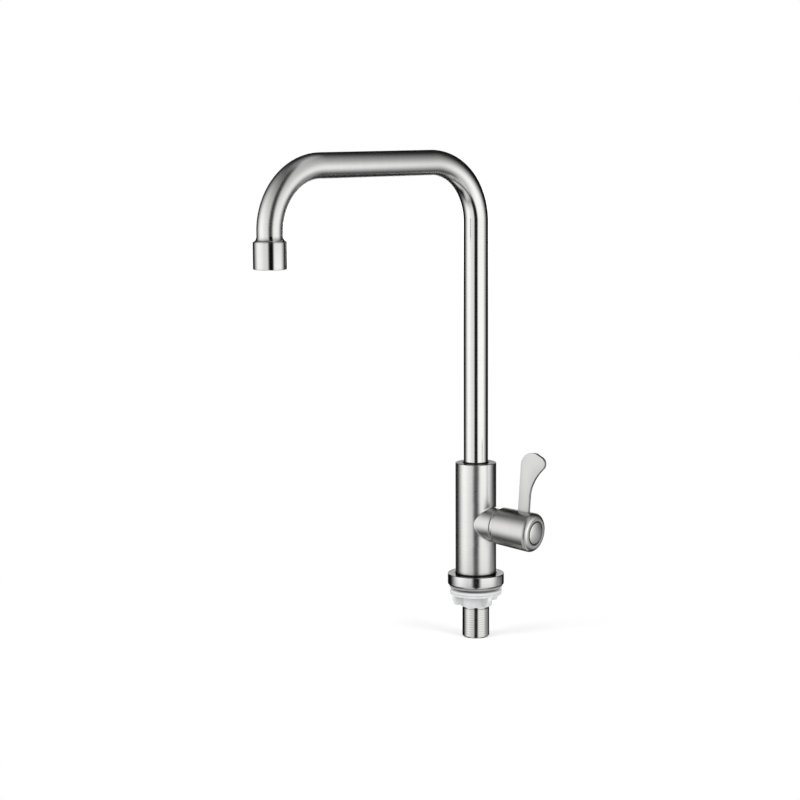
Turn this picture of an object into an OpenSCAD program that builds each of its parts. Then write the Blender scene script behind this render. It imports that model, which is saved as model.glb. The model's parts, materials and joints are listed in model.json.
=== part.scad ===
// Deck-mounted kitchen tap for cold water, with a swivelling square-bend spout and a side lever.
// Origin: centre of the mounting face, on top of the deck. +Z is up, the valve branch points to +X,
// and the spout reaches towards -Y. All sizes are in millimetres.

/* [Base and shank] */
// Diameter of the base flange
flange_d = 43.6; // [42:0.1:60]
// Height of the base flange
flange_h = 9; // [7:0.5:16]
// Radius of the flange's lower edge
flange_round = 1.6; // [0.5:0.1:3]
// Bevel on the flange's upper edge and on the body's rim
edge_bevel = 0.5; // [0.2:0.1:1]
// Thickness of the rubber gasket under the flange
gasket_t = 1.5; // [1:0.1:3]
// Diameter of the gasket
gasket_d = 41; // [38:0.1:43]
// Depth of the recess in the flange that the body stands in
foot_recess = 0.6; // [0.3:0.1:2]
// Outer diameter of the threaded shank, a half-inch pipe thread
shank_d = 20.955; // [20.5:0.005:21.5]
// Diameter of the waterway through the shank
shank_bore_d = 13; // [10:0.5:14]
// Length of the shank below the deck
shank_below = 39.6; // [36:0.1:60]
// Length of the shank that is screwed into the body
shank_grip = 18; // [14:0.5:20]
// Bevel on the shank's lower end
shank_bevel = 1; // [0.5:0.1:1.5]

/* [Body] */
// Diameter of the body column
body_d = 31.5; // [31:0.1:36]
// Height of the body column above the flange
body_h = 86.6; // [84:0.1:110]
// Diameter of the socket that the spout turns in
socket_d = 20.2; // [19.9:0.1:22]
// Depth of that socket
socket_depth = 31; // [29:0.5:34]

/* [Valve branch] */
// Height of the branch axis above the deck, at the column's axis
branch_z = 51.6; // [50:0.1:54]
// Angle that the branch droops below level
branch_droop = 4; // [0:0.5:8]
// Distance from the column's axis to the mouth of the branch
branch_len = 20.5; // [19:0.1:24]
// Diameter of the branch at the column's axis
branch_foot_d = 28.6; // [27:0.1:30]
// Diameter of the branch at its mouth
branch_mouth_d = 25.4; // [24:0.1:27]
// Diameter of the waterways drilled in the body
drill_d = 5; // [4:0.5:5.5]

/* [Cartridge] */
// Diameter of the cartridge's thread
cartridge_thread_d = 19.9; // [18.5:0.1:20.5]
// Length of that thread
cartridge_thread_len = 8; // [6:0.5:10]
// Diameter of the cartridge's nose
cartridge_nose_d = 17; // [16.6:0.1:17.8]
// Diameter of the collar that shows between the branch and the handle
collar_d = 24; // [21:0.1:24.4]
// Length of that collar
collar_len = 3.8; // [2:0.1:5]
// Diameter of the sleeve around the stem
sleeve_d = 15; // [11:0.5:18]
// Length of that sleeve
sleeve_len = 8.7; // [6:0.1:11]
// Diameter of the ceramic discs
disc_d = 14; // [12.5:0.1:14.4]
// Thickness of each ceramic disc
disc_t = 2.5; // [2:0.1:3.5]
// Angle of each port in the discs
port_angle = 70; // [50:1:80]
// Thickness of the rubber seal on the cartridge's seat
seat_seal_t = 1.8; // [1:0.1:3]
// Diameter of the stem
stem_d = 8; // [7.4:0.1:9]
// Width across the flats of the stem's square end
stem_square = 5.6; // [4.8:0.1:5.8]
// Length of that square end
stem_square_len = 8.8; // [6:0.1:12]
// Angle that the lever turns through
handle_turn = 90; // [60:1:90]

/* [Handle] */
// Distance from the column's axis to the handle's rim
cap_start = 23.9; // [22:0.1:24]
// Length of the handle's cap
cap_len = 31.6; // [30:0.1:40]
// Diameter of the cap at its rim
cap_rim_d = 27.8; // [27:0.1:32]
// Diameter of the cap at its shoulder
cap_shoulder_d = 29.4; // [28:0.1:34]
// Radius of the cap's shoulder
cap_round = 4.2; // [2:0.1:5]
// Diameter of the button that covers the screw
button_d = 17; // [13:0.1:17.6]
// Width of the groove around the button
button_groove = 0.45; // [0.2:0.05:0.8]
// Height of the button's dome
button_dome = 1.3; // [0.5:0.1:2.5]
// Thickness of the button's rim
button_t = 2.4; // [1.5:0.1:3]
// Diameter of the handle screw
screw_d = 3.9; // [3:0.1:4.2]
// Diameter of the handle screw's head
screw_head_d = 7.2; // [6:0.1:8]

/* [Lever] */
// Thickness of the lever's plate
lever_t = 2.8; // [2:0.1:4]
// Width of the lever where it leaves the cap
lever_w = 9.4; // [7:0.1:10]
// Distance from the column's axis to the lever's straight edge
lever_start = 38.8; // [37.5:0.1:40]
// Height of the lever's tip above the branch axis
lever_top = 61.3; // [50:0.1:80]
// Radius of the lever's round head
head_r = 10.7; // [8:0.1:14]
// Radius of the head's outer corner
corner_r = 5.5; // [4:0.1:7]
// How far the head reaches past the lever's outer edge
head_reach = 11.9; // [10:0.1:14]
// Depth that the lever is let into the cap
lever_root = 3; // [2:0.1:4]

/* [Spout] */
// Outer diameter of the spout tube
tube_d = 19; // [16:0.1:19.6]
// Wall of the spout tube
tube_wall = 1; // [0.8:0.1:2]
// Height of the level tube's centreline above the deck
spout_h = 327.3; // [250:0.1:400]
// Distance from the column's axis to the outlet's axis
spout_reach = 193.7; // [150:0.1:260]
// Radius of the spout's bends, at the centreline
bend_r = 45; // [30:0.5:60]
// Straight tube between the outer bend and the tip
end_straight = 3; // [2:0.1:40]
// Angle that the spout stands at, from square to the branch
spout_turn = 13.4; // [0:0.1:45]
// Length of the ferrule in the socket
ferrule_len = 14; // [13:0.5:16]
// Length of the ferrule's spigot in the tube
spigot_len = 8; // [4:0.5:12]
// Cord diameter of the spout's O-rings
spout_ring_cord = 1.6; // [1.2:0.1:1.8]
// Length of the swivel bush
bush_len = 9; // [5:0.5:12]

/* [Aerator] */
// Diameter of the aerator's housing
aerator_d = 24.4; // [24:0.1:30]
// Height of the flare above the housing
flare_h = 4; // [2:0.1:8]
// Diameter at the foot of the flare
flare_d = 23.4; // [22:0.1:24]
// Diameter of the tip's thread
tip_thread_d = 22; // [20:0.1:22.4]
// Length of the tip's thread
tip_thread_len = 8.5; // [6:0.5:12]
// Thickness of the aerator's washer
washer_t = 1.8; // [1:0.1:3]
// Height of the aerator's insert
insert_h = 6; // [4:0.5:10]
// Height of the lip that carries the insert
lip_h = 3; // [2.4:0.1:5]
// Diameter of the outlet in the lip
outlet_d = 18.4; // [16:0.1:19]
// Spacing of the screen's wires
screen_pitch = 1.9; // [1.6:0.1:3]
// Width of the screen's wires
screen_wire = 0.55; // [0.4:0.05:1]

/* [Lock nut] */
// Gap between the deck face and the nut's washer, as it stands
nut_gap = 2.05; // [2.02:0.01:6]
// Diameter of the nut's washer
nut_washer_d = 40.6; // [36:0.1:44]
// Thickness of the nut's washer
nut_washer_t = 2.2; // [1.5:0.1:4]
// Diameter of the nut's hub
nut_hub_d = 25.2; // [24:0.1:30]
// Height of the nut
nut_h = 10.8; // [8:0.1:14]
// Height of the nut's flange
nut_flange_h = 1.8; // [1:0.1:3]
// Radius that the nut's wings reach to
wing_reach = 20.9; // [17:0.1:24]
// Thickness of each wing
wing_t = 3; // [2:0.1:5]
// Number of wings
wing_count = 4; // [2:1:6]
// Distance from the hub's lower end to the wings' lower ends
wing_up = 2; // [0.5:0.1:4]
// Angle of the first wing
wing_turn = -23; // [-90:1:90]

/* [Fits] */
// Radial clearance of a turning or threaded fit
run_gap = 0.05; // [0.02:0.01:0.09]
// Gap between faces of pieces that move apart
seat_gap = 0.05; // [0.03:0.01:0.1]
// Clearance around loose inner pieces
loose_gap = 0.3; // [0.2:0.05:0.5]

/* [Hidden] */
$fn = 96;
// Overlap of solids that join, and reach of a cutting shape past the face it cuts
eps = 0.01;
cut = 1;

// Base, shank and body
flange_top = gasket_t + flange_h;
foot_z = flange_top - foot_recess;
body_top = flange_top + body_h;
shank_top = foot_z + shank_grip;
shank_washer_t = 1.5;
plenum_z = shank_top + shank_washer_t + eps;
plenum_h = 4;
plenum_d = shank_d - 4.6;
foot_gap = 0.35;
nut_washer_z = -nut_gap - nut_washer_t;
nut_top = nut_washer_z - seat_gap;
nut_bottom = nut_top - nut_h;
nut_edge = 0.8;
wing_root_r = shank_d / 2 + 1;
wing_edge_h = 3;
wing_taper = 2.2;
// Groove round the shank where its free thread ends, under the nut
relief_top = nut_bottom - 1;
relief_h = 0.8;
relief_deep = 0.9;

// Branch, measured along its own axis from the column's axis
seat_u = -4;
seat_hole_d = 8;
seat_wall = 1.2;
inlet_x = seat_u - seat_wall - drill_d / 2;
outlet_x = 4.5;
inlet_z = plenum_z + plenum_h / 2;
disc_u = seat_u + seat_seal_t;
disc_gap = 0.03;
port_rim = 1.1;
disc_hub_d = 3;
moving_u = disc_u + disc_t + disc_gap;
chamber_end = moving_u + disc_t + 6.6;
window_u = moving_u + disc_t + 0.4;
window_len = 4.4;
window_w = 8;
nose_end = branch_len - cartridge_thread_len;
collar_end = branch_len + collar_len;
sleeve_end = collar_end + sleeve_len;
disc_room_d = disc_d + 2 * loose_gap;
o_ring_cord = 1.2;
o_groove_h = 1.8;
o_ring_u = nose_end - 1.4;
stem_ring_u = o_ring_u + 4.9;
clip_t = 0.8;
clip_d = 11;
clip_deep = 0.6;
clip_mouth = 4;
clip_u = sleeve_end + 0.1;
stem_round_end = clip_u + clip_t + 0.3;
stem_end = stem_round_end + stem_square_len;
stem_head_t = 2.6;
stem_head_u = chamber_end - seat_gap - stem_head_t;
stem_tap_len = 7;
prong_w = 3;
prong_gap = 0.4;

// Handle
cap_end = cap_start + cap_len;
cap_cavity_d = collar_d + 1;
hub_u = stem_round_end + 0.6;
stem_socket_end = stem_end + 0.2;
cap_web = 2.8;
head_u = stem_socket_end + cap_web;
screw_head_h = 2.4;
screw_grip = 6;
cross_len = 4;
cross_w = 0.9;
cross_deep = 1.4;
button_floor = cap_end - button_t - 0.5;
button_foot = head_u + screw_head_h + loose_gap;
button_foot_t = 1.4;
recess_d = screw_head_d + 1.4;
lever_end = lever_start + lever_w;
// Heights in the lever's outline, from the head's middle or down from its tip
corner_rise = 3.4;
waist_drop = 22.6;
root_drop = 35;

// Spout
tube_r = tube_d / 2;
tube_bore_r = tube_r - tube_wall;
socket_floor = body_top - socket_depth;
ferrule_z = socket_floor + 0.8;
ferrule_r = socket_d / 2 - run_gap;
tube_start = ferrule_z + ferrule_len;
press_gap = 0.02;
spigot_wall = 1.5;
ring_groove_h = 2.3;
ring_groove_z = [ferrule_z + 1.8, ferrule_z + 5.4];
snap_t = 1.2;
snap_z = tube_start - 3.2;
snap_deep = 1;
snap_out = 0.85;
snap_mouth = 6;
body_groove_gap = 0.2;
ferrule_groove_gap = 0.3;
bush_top = body_top - 0.4;
bend_z = spout_h - bend_r;
tip_top = bend_z - end_straight;
tip_z = tip_top - flare_h;
tip_end = tip_z - tip_thread_len;

// Aerator
housing_top = tip_z - seat_gap;
washer_top = tip_end - seat_gap;
insert_top = washer_top - washer_t;
insert_z = insert_top - insert_h;
lip_z = insert_z - seat_gap;
housing_z = lip_z - lip_h;
insert_d = tip_thread_d - 2 * loose_gap;
// Rows of air holes in the insert: how many, and their distance from its middle
air_holes = [[6, 3], [12, 6.2]];
air_hole_d = 1.8;
spigot_d = outlet_d - 2 * loose_gap;
spigot_h = 1.2;
screen_t = 0.5;
screen_rim = 0.8;

steel = "lightsteelblue";
plastic = "whitesmoke";
rubber = "dimgray";
brass = "goldenrod";

// Points along an arc, from one angle to another
function arc(x, y, r, from, to, steps) =
    [for (i = [0:steps]) let (a = from + (to - from) * i / steps) [x + r * cos(a), y + r * sin(a)]];

// Points along a curve that leaves p towards q and arrives at s from q
function curve(p, q, s, steps) =
    [for (i = [1:steps]) let (t = i / steps) (1 - t) * (1 - t) * p + 2 * t * (1 - t) * q + t * t * s];

// A ring between two radii, standing on z
module ring(z, h, outer_r, inner_r) {
    translate([0, 0, z])
        difference() {
            cylinder(h = h, r = outer_r);
            translate([0, 0, -cut])
                cylinder(h = h + 2 * cut, r = inner_r);
        }
}

// An O-ring whose inside lies on the groove's floor
module o_ring(z, floor_r, cord) {
    translate([0, 0, z])
        rotate_extrude()
            translate([floor_r + cord / 2, 0])
                circle(d = cord, $fn = 32);
}

// A turned solid from its half outline
module turned(outline) {
    rotate_extrude()
        polygon(outline);
}

// A slice of a round bar between two angles
module sector(z, h, r, middle, angle) {
    translate([0, 0, z])
        rotate([0, 0, middle - angle / 2])
            rotate_extrude(angle = angle)
                square([r, h]);
}

// Places things on the branch: z runs outwards along its axis and -x points up
module on_branch() {
    translate([0, 0, branch_z])
        rotate([0, 90 + branch_droop, 0])
            children();
}

// Turns the spout to where it stands
module on_spout() {
    rotate([0, 0, -spout_turn])
        children();
}

module on_outlet() {
    on_spout()
        translate([0, -spout_reach, 0])
            children();
}

module body_column() {
    color(steel)
        difference() {
            union() {
                turned([
                    [0, foot_z], [body_d / 2 - edge_bevel, foot_z], [body_d / 2, foot_z + edge_bevel],
                    [body_d / 2, body_top - edge_bevel], [body_d / 2 - edge_bevel, body_top], [0, body_top]
                ]);
                on_branch()
                    cylinder(h = branch_len, d1 = branch_foot_d, d2 = branch_mouth_d);
            }
            // Socket of the spout, with the groove of the snap ring
            translate([0, 0, socket_floor])
                cylinder(h = socket_depth + cut, d = socket_d);
            translate([0, 0, snap_z - body_groove_gap])
                cylinder(h = snap_t + 2 * body_groove_gap, d = socket_d + 2 * snap_out + 2 * run_gap);
            // Thread of the shank, the seat of its washer and the space above
            translate([0, 0, foot_z - cut])
                cylinder(h = plenum_z - foot_z + cut, d = shank_d + 2 * run_gap);
            translate([0, 0, plenum_z - cut])
                cylinder(h = plenum_h + cut, d = plenum_d);
            // Bore of the cartridge
            on_branch() {
                translate([0, 0, seat_u])
                    cylinder(h = branch_len - seat_u, d = cartridge_nose_d + 4 * run_gap);
                translate([0, 0, nose_end - loose_gap])
                    cylinder(h = cartridge_thread_len + 2 * cut, d = cartridge_thread_d + 2 * run_gap);
                translate([0, 0, seat_u - drill_d])
                    cylinder(h = drill_d + cut, d = seat_hole_d);
            }
            // Waterways from the shank to the seat and from the cartridge to the socket
            translate([inlet_x, 0, inlet_z])
                cylinder(h = branch_z - inlet_z, d = drill_d);
            translate([outlet_x, 0, branch_z])
                cylinder(h = socket_floor - branch_z + cut, d = drill_d);
        }
}

module base_flange() {
    r = flange_d / 2;
    color(steel)
        difference() {
            turned(concat(
                [[0, gasket_t]],
                arc(r - flange_round, gasket_t + flange_round, flange_round, -90, 0, 8),
                [[r, flange_top - edge_bevel], [r - edge_bevel, flange_top], [0, flange_top]]
            ));
            translate([0, 0, gasket_t - cut])
                cylinder(h = flange_h + 2 * cut, d = shank_d + 2 * loose_gap);
            translate([0, 0, foot_z])
                cylinder(h = foot_recess + cut, d = body_d + 2 * foot_gap);
        }
}

module base_gasket() {
    color(rubber)
        ring(0, gasket_t, gasket_d / 2, shank_d / 2 + loose_gap);
}

module threaded_shank() {
    r = shank_d / 2;
    color(steel)
        difference() {
            turned([
                [0, -shank_below], [r - shank_bevel, -shank_below], [r, -shank_below + shank_bevel],
                [r, relief_top - relief_h], [r - relief_deep, relief_top - relief_h],
                [r - relief_deep, relief_top], [r, relief_top], [r, shank_top], [0, shank_top]
            ]);
            translate([0, 0, -shank_below - cut])
                cylinder(h = shank_below + shank_top + 2 * cut, d = shank_bore_d);
        }
}

module shank_washer() {
    color(rubber)
        ring(shank_top, shank_washer_t, shank_d / 2 - loose_gap, shank_bore_d / 2);
}

module cartridge_housing() {
    nose_r = cartridge_nose_d / 2;
    thread_r = cartridge_thread_d / 2;
    color(brass)
        on_branch()
            difference() {
                turned([
                    [0, disc_u], [nose_r, disc_u], [nose_r, nose_end], [thread_r, nose_end],
                    [thread_r, branch_len], [collar_d / 2, branch_len],
                    [collar_d / 2, collar_end - edge_bevel], [collar_d / 2 - edge_bevel, collar_end],
                    [sleeve_d / 2, collar_end], [sleeve_d / 2, sleeve_end], [0, sleeve_end]
                ]);
                // Room for the discs and the stem's head
                translate([0, 0, disc_u - cut])
                    cylinder(h = chamber_end - disc_u + cut, d = disc_room_d);
                // Bearing of the stem
                cylinder(h = sleeve_end + cut, d = stem_d + 2 * run_gap);
                // Outlet windows
                translate([-nose_r - cut, -window_w / 2, window_u])
                    cube([2 * nose_r + 2 * cut, window_w, window_len]);
                // Groove of the O-ring
                ring(o_ring_u - o_groove_h / 2, o_groove_h, nose_r + cut, nose_r - o_ring_cord);
            }
}

module cartridge_o_ring() {
    color(rubber)
        on_branch()
            o_ring(o_ring_u, cartridge_nose_d / 2 - o_ring_cord, o_ring_cord);
}

module seat_seal() {
    color(rubber)
        on_branch()
            ring(seat_u, seat_seal_t, cartridge_nose_d / 2 - 2 * run_gap, seat_hole_d / 2);
}

module ceramic_disc(u, middle) {
    difference() {
        translate([0, 0, u])
            cylinder(h = disc_t, d = disc_d);
        for (side = [0, 180])
            difference() {
                sector(u - cut, disc_t + 2 * cut, disc_d / 2 - port_rim, middle + side, port_angle);
                translate([0, 0, u - 2 * cut])
                    cylinder(h = disc_t + 4 * cut, d = disc_hub_d);
            }
    }
}

module fixed_disc() {
    color("ivory")
        on_branch()
            ceramic_disc(disc_u, 90);
}

module moving_disc() {
    color("ivory")
        on_branch()
            ceramic_disc(moving_u, 90 + handle_turn);
}

module cartridge_stem() {
    stem_r = stem_d / 2;
    prong_out = disc_d / 2 - port_rim - loose_gap;
    prong_len = stem_head_u - moving_u - prong_gap + eps;
    color(brass)
        on_branch()
            difference() {
                union() {
                    translate([0, 0, stem_head_u])
                        cylinder(h = stem_head_t, d = disc_room_d - 2 * loose_gap);
                    translate([0, 0, stem_head_u])
                        cylinder(h = stem_round_end - stem_head_u, d = stem_d);
                    translate([-stem_square / 2, -stem_square / 2, stem_round_end - eps])
                        cube([stem_square, stem_square, stem_square_len + eps]);
                    // Prongs that turn the moving disc
                    for (side = [0, 180])
                        rotate([0, 0, side + handle_turn + 90])
                            translate([disc_d / 4, -prong_w / 2, moving_u + prong_gap])
                                cube([prong_out - disc_d / 4, prong_w, prong_len]);
                }
                // Grooves of the O-ring and the clip
                ring(stem_ring_u - o_groove_h / 2, o_groove_h, stem_r + cut, stem_r - o_ring_cord);
                ring(clip_u, clip_t, stem_r + cut, stem_r - clip_deep);
                // Tapped hole of the handle screw
                translate([0, 0, stem_end - stem_tap_len])
                    cylinder(h = stem_tap_len + cut, d = screw_d + 2 * run_gap);
            }
}

module stem_o_ring() {
    color(rubber)
        on_branch()
            o_ring(stem_ring_u, stem_d / 2 - o_ring_cord, o_ring_cord);
}

module stem_clip() {
    color("silver")
        on_branch()
            difference() {
                ring(clip_u, clip_t, clip_d / 2, stem_d / 2 - clip_deep);
                translate([0, -clip_mouth / 2, clip_u - cut])
                    cube([clip_d, clip_mouth, clip_t + 2 * cut]);
            }
}

module handle_cap() {
    shoulder_r = cap_shoulder_d / 2;
    rim_r = cap_rim_d / 2;
    square_w = stem_square + 2 * run_gap;
    color(steel)
        on_branch()
            difference() {
                turned(concat(
                    [[0, cap_start], [rim_r - edge_bevel, cap_start], [rim_r, cap_start + edge_bevel]],
                    arc(shoulder_r - cap_round, cap_end - cap_round, cap_round, 0, 90, 10),
                    [[0, cap_end]]
                ));
                translate([0, 0, cap_start - cut])
                    cylinder(h = hub_u - cap_start + cut, d = cap_cavity_d);
                // Socket of the stem's square end
                translate([-square_w / 2, -square_w / 2, hub_u - cut])
                    cube([square_w, square_w, stem_socket_end - hub_u + cut]);
                // Screw, its head and the button
                cylinder(h = head_u + cut, d = screw_d + 2 * loose_gap);
                translate([0, 0, head_u])
                    cylinder(h = cap_end - head_u, d = recess_d);
                translate([0, 0, button_floor])
                    cylinder(h = cap_end - button_floor + cut, d = button_d + 2 * button_groove);
                // Slot of the lever
                translate([-shoulder_r - cut, -lever_t / 2 - run_gap, lever_start - run_gap])
                    cube([lever_root + cut + run_gap, lever_t + 2 * run_gap, lever_w + 2 * run_gap]);
            }
}

// Outline of the lever's plate: first value along the branch, second above its axis
function lever_outline() =
    let (
        root = cap_shoulder_d / 2 - lever_root,
        head = [lever_start + head_r, lever_top - head_r],
        corner = [lever_end + head_reach - corner_r, lever_top - head_r + corner_rise],
        leave = corner + corner_r * [cos(-45), sin(-45)]
    )
    concat(
        [[lever_end, root], [lever_start, root]],
        arc(head[0], head[1], head_r, 180, 76, 14),
        arc(corner[0], corner[1], corner_r, 60, -45, 10),
        curve(leave, [lever_end, lever_top - waist_drop], [lever_end, lever_top - root_drop], 12)
    );

module lever() {
    color(steel)
        on_branch()
            rotate([90, 0, 0])
                translate([0, 0, -lever_t / 2])
                    linear_extrude(lever_t)
                        polygon([for (p = lever_outline()) [-p[1], p[0]]]);
}

module handle_screw() {
    color("silver")
        on_branch()
            difference() {
                union() {
                    translate([0, 0, stem_end - screw_grip])
                        cylinder(h = head_u - stem_end + screw_grip + eps, d = screw_d);
                    translate([0, 0, head_u])
                        cylinder(h = screw_head_h, d = screw_head_d);
                }
                // Cross recess
                for (turn = [0, 90])
                    rotate([0, 0, turn])
                        translate([-cross_len / 2, -cross_w / 2, head_u + screw_head_h - cross_deep])
                            cube([cross_len, cross_w, cross_deep + cut]);
            }
}

module handle_button() {
    r = button_d / 2;
    dome_r = (r * r + button_dome * button_dome) / (2 * button_dome);
    dome_angle = asin(r / dome_r);
    foot_r = recess_d / 2 - run_gap;
    foot_in = foot_r - button_foot_t;
    color(steel)
        on_branch()
            turned(concat(
                [[0, button_floor], [foot_in, button_floor], [foot_in, button_foot],
                    [foot_r, button_foot], [foot_r, button_floor], [r, button_floor]],
                arc(0, cap_end + button_dome - dome_r, dome_r, 90 - dome_angle, 90, 10)
            ));
}

module swivel_bush() {
    color("black")
        ring(bush_top - bush_len, bush_len, socket_d / 2 - press_gap, tube_r + run_gap);
}

module snap_ring() {
    color("silver")
        difference() {
            ring(snap_z, snap_t, socket_d / 2 + snap_out, ferrule_r - snap_deep + loose_gap);
            translate([0, -snap_mouth / 2, snap_z - cut])
                cube([socket_d, snap_mouth, snap_t + 2 * cut]);
        }
}

// One quarter bend of the spout's tube, from upright to level
module bend() {
    rotate([0, 90, 0])
        rotate([0, 0, 90])
            rotate_extrude(angle = 90)
                translate([bend_r, 0])
                    difference() {
                        circle(r = tube_r);
                        circle(r = tube_bore_r);
                    }
}

module spout_tube() {
    color(steel)
        on_spout() {
            ring(tube_start, bend_z - tube_start, tube_r, tube_bore_r);
            translate([0, -bend_r, bend_z])
                bend();
            translate([0, -bend_r, spout_h])
                rotate([90, 0, 0])
                    ring(0, spout_reach - 2 * bend_r, tube_r, tube_bore_r);
            translate([0, bend_r - spout_reach, bend_z])
                rotate([0, 0, 180])
                    bend();
            translate([0, -spout_reach, 0])
                ring(tip_top, end_straight, tube_r, tube_bore_r);
        }
}

module spout_ferrule() {
    spigot_r = tube_bore_r - press_gap;
    color(brass)
        on_spout()
            difference() {
                turned([
                    [0, ferrule_z], [ferrule_r, ferrule_z], [ferrule_r, tube_start],
                    [spigot_r, tube_start], [spigot_r, tube_start + spigot_len], [0, tube_start + spigot_len]
                ]);
                translate([0, 0, ferrule_z - cut])
                    cylinder(h = ferrule_len + spigot_len + 2 * cut, r = spigot_r - spigot_wall);
                for (z = ring_groove_z)
                    ring(z, ring_groove_h, ferrule_r + cut, ferrule_r - spout_ring_cord);
                // Groove of the snap ring
                ring(snap_z - ferrule_groove_gap, snap_t + 2 * ferrule_groove_gap,
                    ferrule_r + cut, ferrule_r - snap_deep);
            }
}

module spout_o_rings() {
    color(rubber)
        on_spout()
            for (z = ring_groove_z)
                o_ring(z + ring_groove_h / 2, ferrule_r - spout_ring_cord, spout_ring_cord);
}

module spout_tip() {
    flare_w = flare_d / 2 - tube_r;
    spigot_r = tube_bore_r - press_gap;
    color(steel)
        on_outlet()
            difference() {
                turned(concat(
                    [[0, tip_end], [tip_thread_d / 2, tip_end], [tip_thread_d / 2, tip_z]],
                    [for (i = [8:-1:0]) let (a = 90 * i / 8)
                        [tube_r + flare_w * (1 - cos(a)), tip_top - flare_h * sin(a)]],
                    [[spigot_r, tip_top], [spigot_r, bend_z], [0, bend_z]]
                ));
                translate([0, 0, tip_end - cut])
                    cylinder(h = bend_z - tip_end + 2 * cut, r = spigot_r - tube_wall);
            }
}

module aerator_housing() {
    r = aerator_d / 2;
    color(steel)
        on_outlet()
            difference() {
                turned([
                    [0, housing_z], [r - edge_bevel, housing_z], [r, housing_z + edge_bevel],
                    [r, housing_top - edge_bevel], [r - edge_bevel, housing_top], [0, housing_top]
                ]);
                translate([0, 0, lip_z])
                    cylinder(h = housing_top - lip_z + cut, d = tip_thread_d + 2 * run_gap);
                translate([0, 0, housing_z - cut])
                    cylinder(h = lip_h + 2 * cut, d = outlet_d);
            }
}

module aerator_washer() {
    color(rubber)
        on_outlet()
            ring(insert_top, washer_t, insert_d / 2, tube_bore_r);
}

module aerator_insert() {
    color(plastic)
        on_outlet()
            difference() {
                union() {
                    translate([0, 0, insert_z])
                        cylinder(h = insert_h, d = insert_d);
                    translate([0, 0, insert_z - spigot_h])
                        cylinder(h = spigot_h + eps, d = spigot_d);
                }
                for (row = air_holes)
                    for (i = [0:row[0] - 1])
                        rotate([0, 0, 360 * i / row[0]])
                            translate([row[1], 0, insert_z - spigot_h - cut])
                                cylinder(h = insert_h + spigot_h + 2 * cut, d = air_hole_d, $fn = 24);
            }
}

module aerator_screen() {
    mesh_r = spigot_d / 2 - screen_rim;
    hole = screen_pitch - screen_wire;
    rows = floor(mesh_r / screen_pitch);
    corner = hole / sqrt(2);
    color("silver")
        on_outlet()
            translate([0, 0, insert_z - spigot_h - screen_t])
                difference() {
                    cylinder(h = screen_t, d = spigot_d);
                    for (i = [-rows:rows])
                        for (j = [-rows:rows])
                            if (norm([i, j]) * screen_pitch + corner < mesh_r)
                                translate([i * screen_pitch - hole / 2, j * screen_pitch - hole / 2, -cut])
                                    cube([hole, hole, screen_t + 2 * cut]);
                }
}

module nut_washer() {
    color(plastic)
        ring(nut_washer_z, nut_washer_t, nut_washer_d / 2, shank_d / 2 + loose_gap);
}

// One wing of the lock nut, a plate that narrows downwards
module wing(top, bottom) {
    rotate([90, 0, 0])
        translate([0, 0, -wing_t / 2])
            linear_extrude(wing_t)
                polygon([
                    [wing_root_r, top], [wing_reach, top], [wing_reach, top - wing_edge_h],
                    [wing_reach - wing_taper, bottom], [wing_root_r, bottom]
                ]);
}

module wing_nut() {
    hub_r = nut_hub_d / 2;
    flange_r = nut_washer_d / 2 - nut_edge / 2;
    color(plastic)
        difference() {
            union() {
                turned([
                    [0, nut_bottom], [hub_r - nut_edge, nut_bottom], [hub_r, nut_bottom + nut_edge],
                    [hub_r, nut_top - nut_flange_h], [flange_r - nut_edge, nut_top - nut_flange_h],
                    [flange_r, nut_top], [0, nut_top]
                ]);
                for (i = [0:wing_count - 1])
                    rotate([0, 0, wing_turn + 360 * i / wing_count])
                        wing(nut_top - nut_flange_h / 2, nut_bottom + wing_up);
            }
            translate([0, 0, nut_bottom - cut])
                cylinder(h = nut_h + 2 * cut, d = shank_d + 2 * run_gap);
        }
}

body_column();
base_flange();
base_gasket();
threaded_shank();
shank_washer();
cartridge_housing();
cartridge_o_ring();
seat_seal();
fixed_disc();
swivel_bush();
snap_ring();
spout_tube();
spout_ferrule();
spout_o_rings();
spout_tip();
aerator_washer();
aerator_insert();
aerator_screen();
aerator_housing();
cartridge_stem();
moving_disc();
stem_o_ring();
stem_clip();
handle_cap();
lever();
handle_screw();
handle_button();
nut_washer();
wing_nut();
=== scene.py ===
import json
import math

import bmesh
import bpy
from mathutils import Matrix, Vector


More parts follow.
